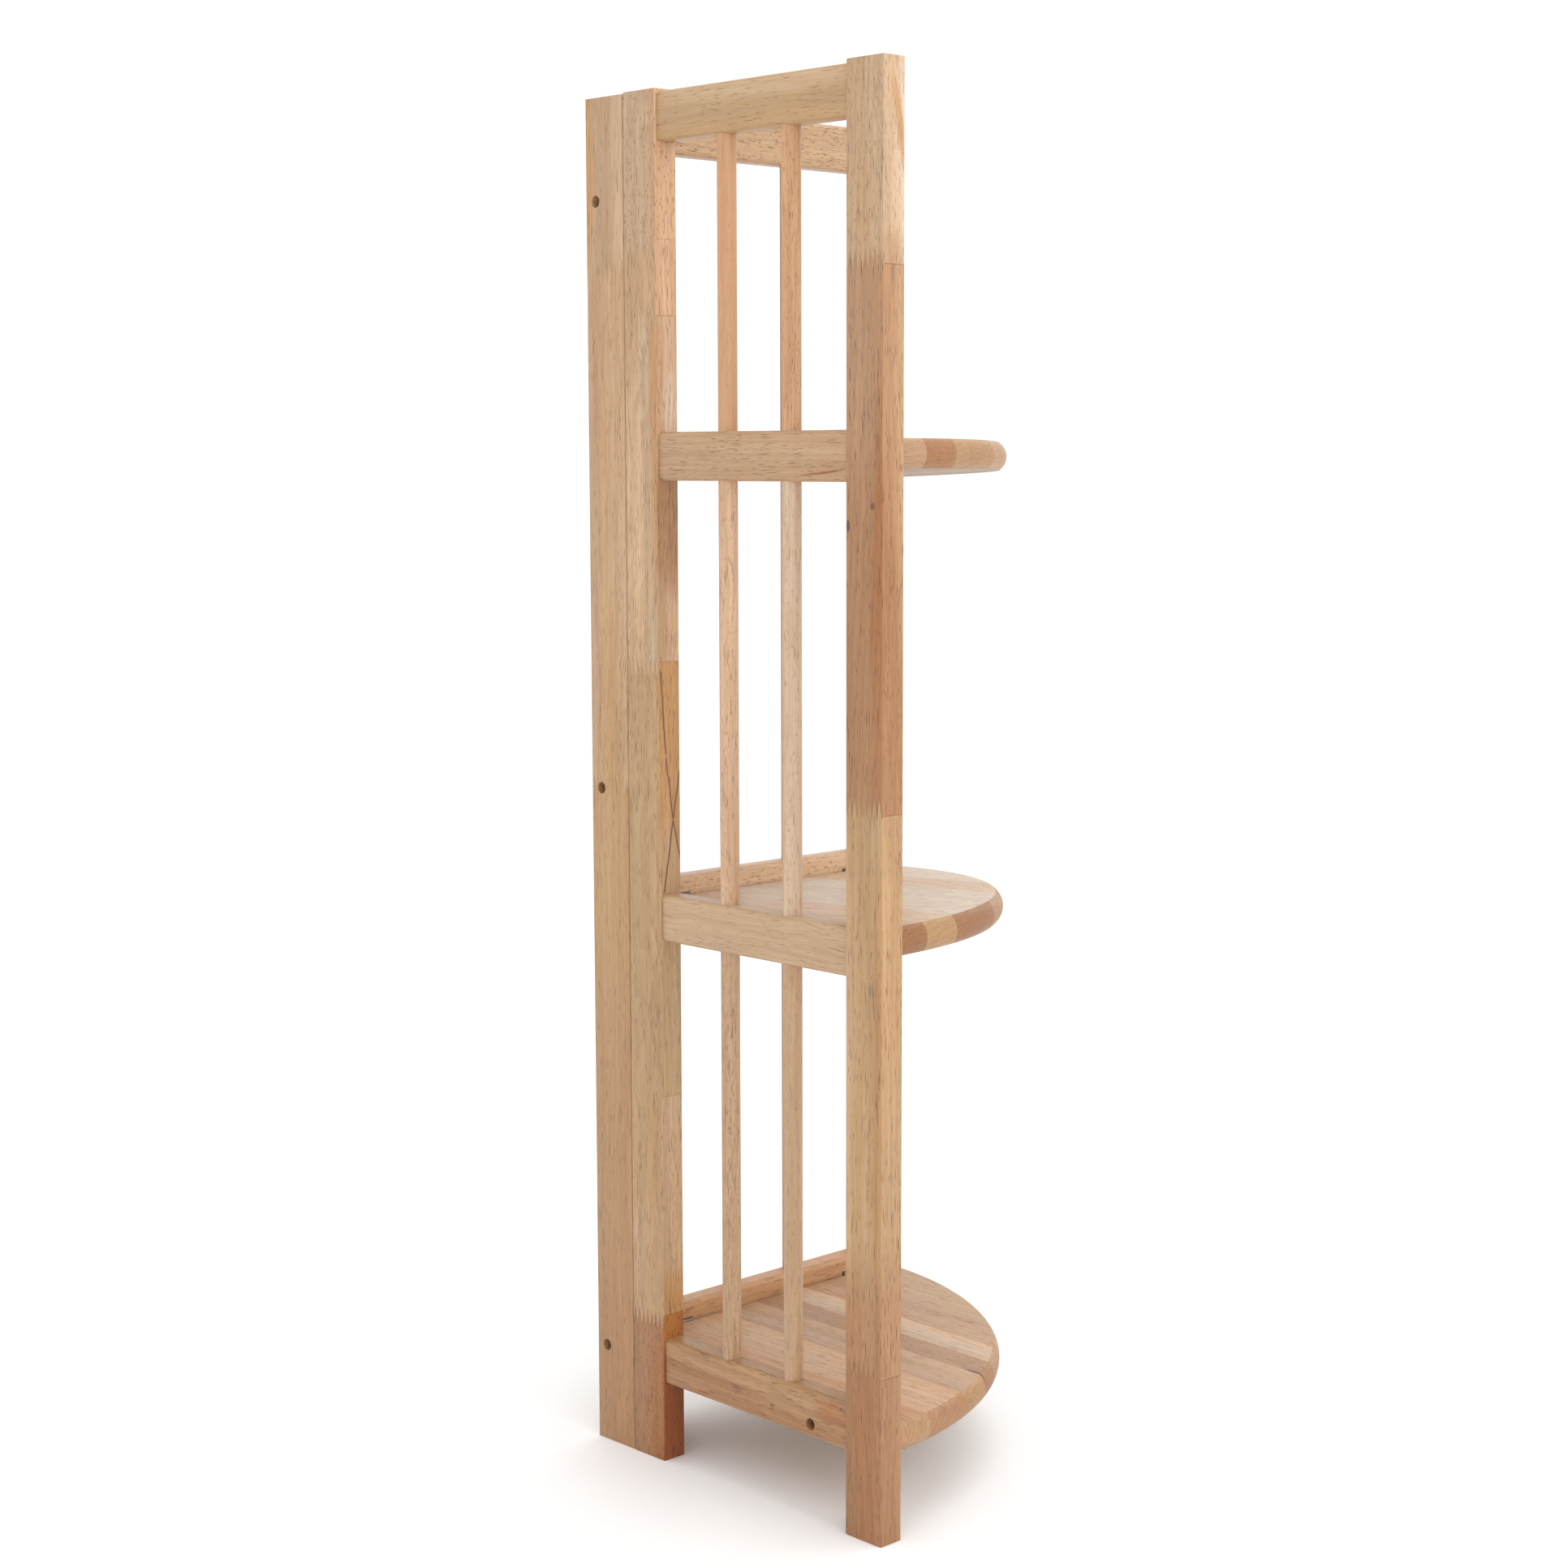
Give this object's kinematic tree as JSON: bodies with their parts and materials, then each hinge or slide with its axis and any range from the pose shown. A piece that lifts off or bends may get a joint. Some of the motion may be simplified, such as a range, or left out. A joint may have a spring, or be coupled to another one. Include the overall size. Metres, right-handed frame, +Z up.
{
  "type": "folding corner shelf",
  "caption": "Slim folding corner rack of pale wood: two spindled ladder frames at a right angle, joined by a strip, with quarter-round shelves that hinge upward.",
  "frame": {"origin": "on the floor, under the middle of the square footprint", "axes": "+X along the left frame away from the corner, +Y along the right frame away from the corner, +Z up"},
  "size_m": [0.3, 0.3, 0.9965],
  "materials": {
    "post_wood": "clear satin lacquer on pale finger-jointed rubberwood",
    "rail_wood": "clear satin lacquer on pale finger-jointed rubberwood",
    "spindle_wood": "clear satin lacquer on pale finger-jointed rubberwood",
    "shelf_wood": "clear satin lacquer on pale finger-jointed rubberwood, glued up from staves",
    "dowel_wood": "plain beech dowel, glued",
    "zinc_steel": "bright zinc plate"
  },
  "bodies": {
    "frame": {"corner_strip": "post_wood", "left_rear_post": "post_wood", "left_front_post": "post_wood", "left_top_rail": "rail_wood", "left_upper_rail": "rail_wood", "left_middle_rail": "rail_wood", "left_bottom_rail": "rail_wood", "left_upper_spindles": "spindle_wood", "left_middle_spindles": "spindle_wood", "left_lower_spindles": "spindle_wood", "left_rail_dowels": "dowel_wood", "right_rear_post": "post_wood", "right_front_post": "post_wood", "right_top_rail": "rail_wood", "right_upper_rail": "rail_wood", "right_middle_rail": "rail_wood", "right_bottom_rail": "rail_wood", "right_upper_spindles": "spindle_wood", "right_middle_spindles": "spindle_wood", "right_lower_spindles": "spindle_wood", "right_rail_dowels": "dowel_wood", "corner_screws": "zinc_steel", "fold_hinge_strip_leaves": "zinc_steel", "fold_hinge_frame_leaves": "zinc_steel", "fold_hinge_pins": "zinc_steel", "fold_hinge_screws": "zinc_steel", "shelf_hinge_rail_leaves": "zinc_steel", "shelf_hinge_pins": "zinc_steel", "shelf_hinge_rail_screws": "zinc_steel"},
    "bottom_shelf_body": {"bottom_shelf": "shelf_wood", "bottom_shelf_leaves": "zinc_steel", "bottom_shelf_screws": "zinc_steel"},
    "middle_shelf_body": {"middle_shelf": "shelf_wood", "middle_shelf_leaves": "zinc_steel", "middle_shelf_screws": "zinc_steel"},
    "upper_shelf_body": {"upper_shelf": "shelf_wood", "upper_shelf_leaves": "zinc_steel", "upper_shelf_screws": "zinc_steel"}
  },
  "joints": [
    {"name": "bottom_shelf_fold", "type": "hinge", "parent": "frame", "child": "bottom_shelf_body", "pos_m": [-0.12925, 0, 0.0785], "axis": [0, -1, 0], "range_deg": [0, 90]},
    {"name": "middle_shelf_fold", "type": "hinge", "parent": "frame", "child": "middle_shelf_body", "pos_m": [-0.12925, 0, 0.411], "axis": [0, -1, 0], "range_deg": [0, 86.8]},
    {"name": "upper_shelf_fold", "type": "hinge", "parent": "frame", "child": "upper_shelf_body", "pos_m": [-0.12925, 0, 0.7435], "axis": [0, -1, 0], "range_deg": [0, 88.1]}
  ]
}
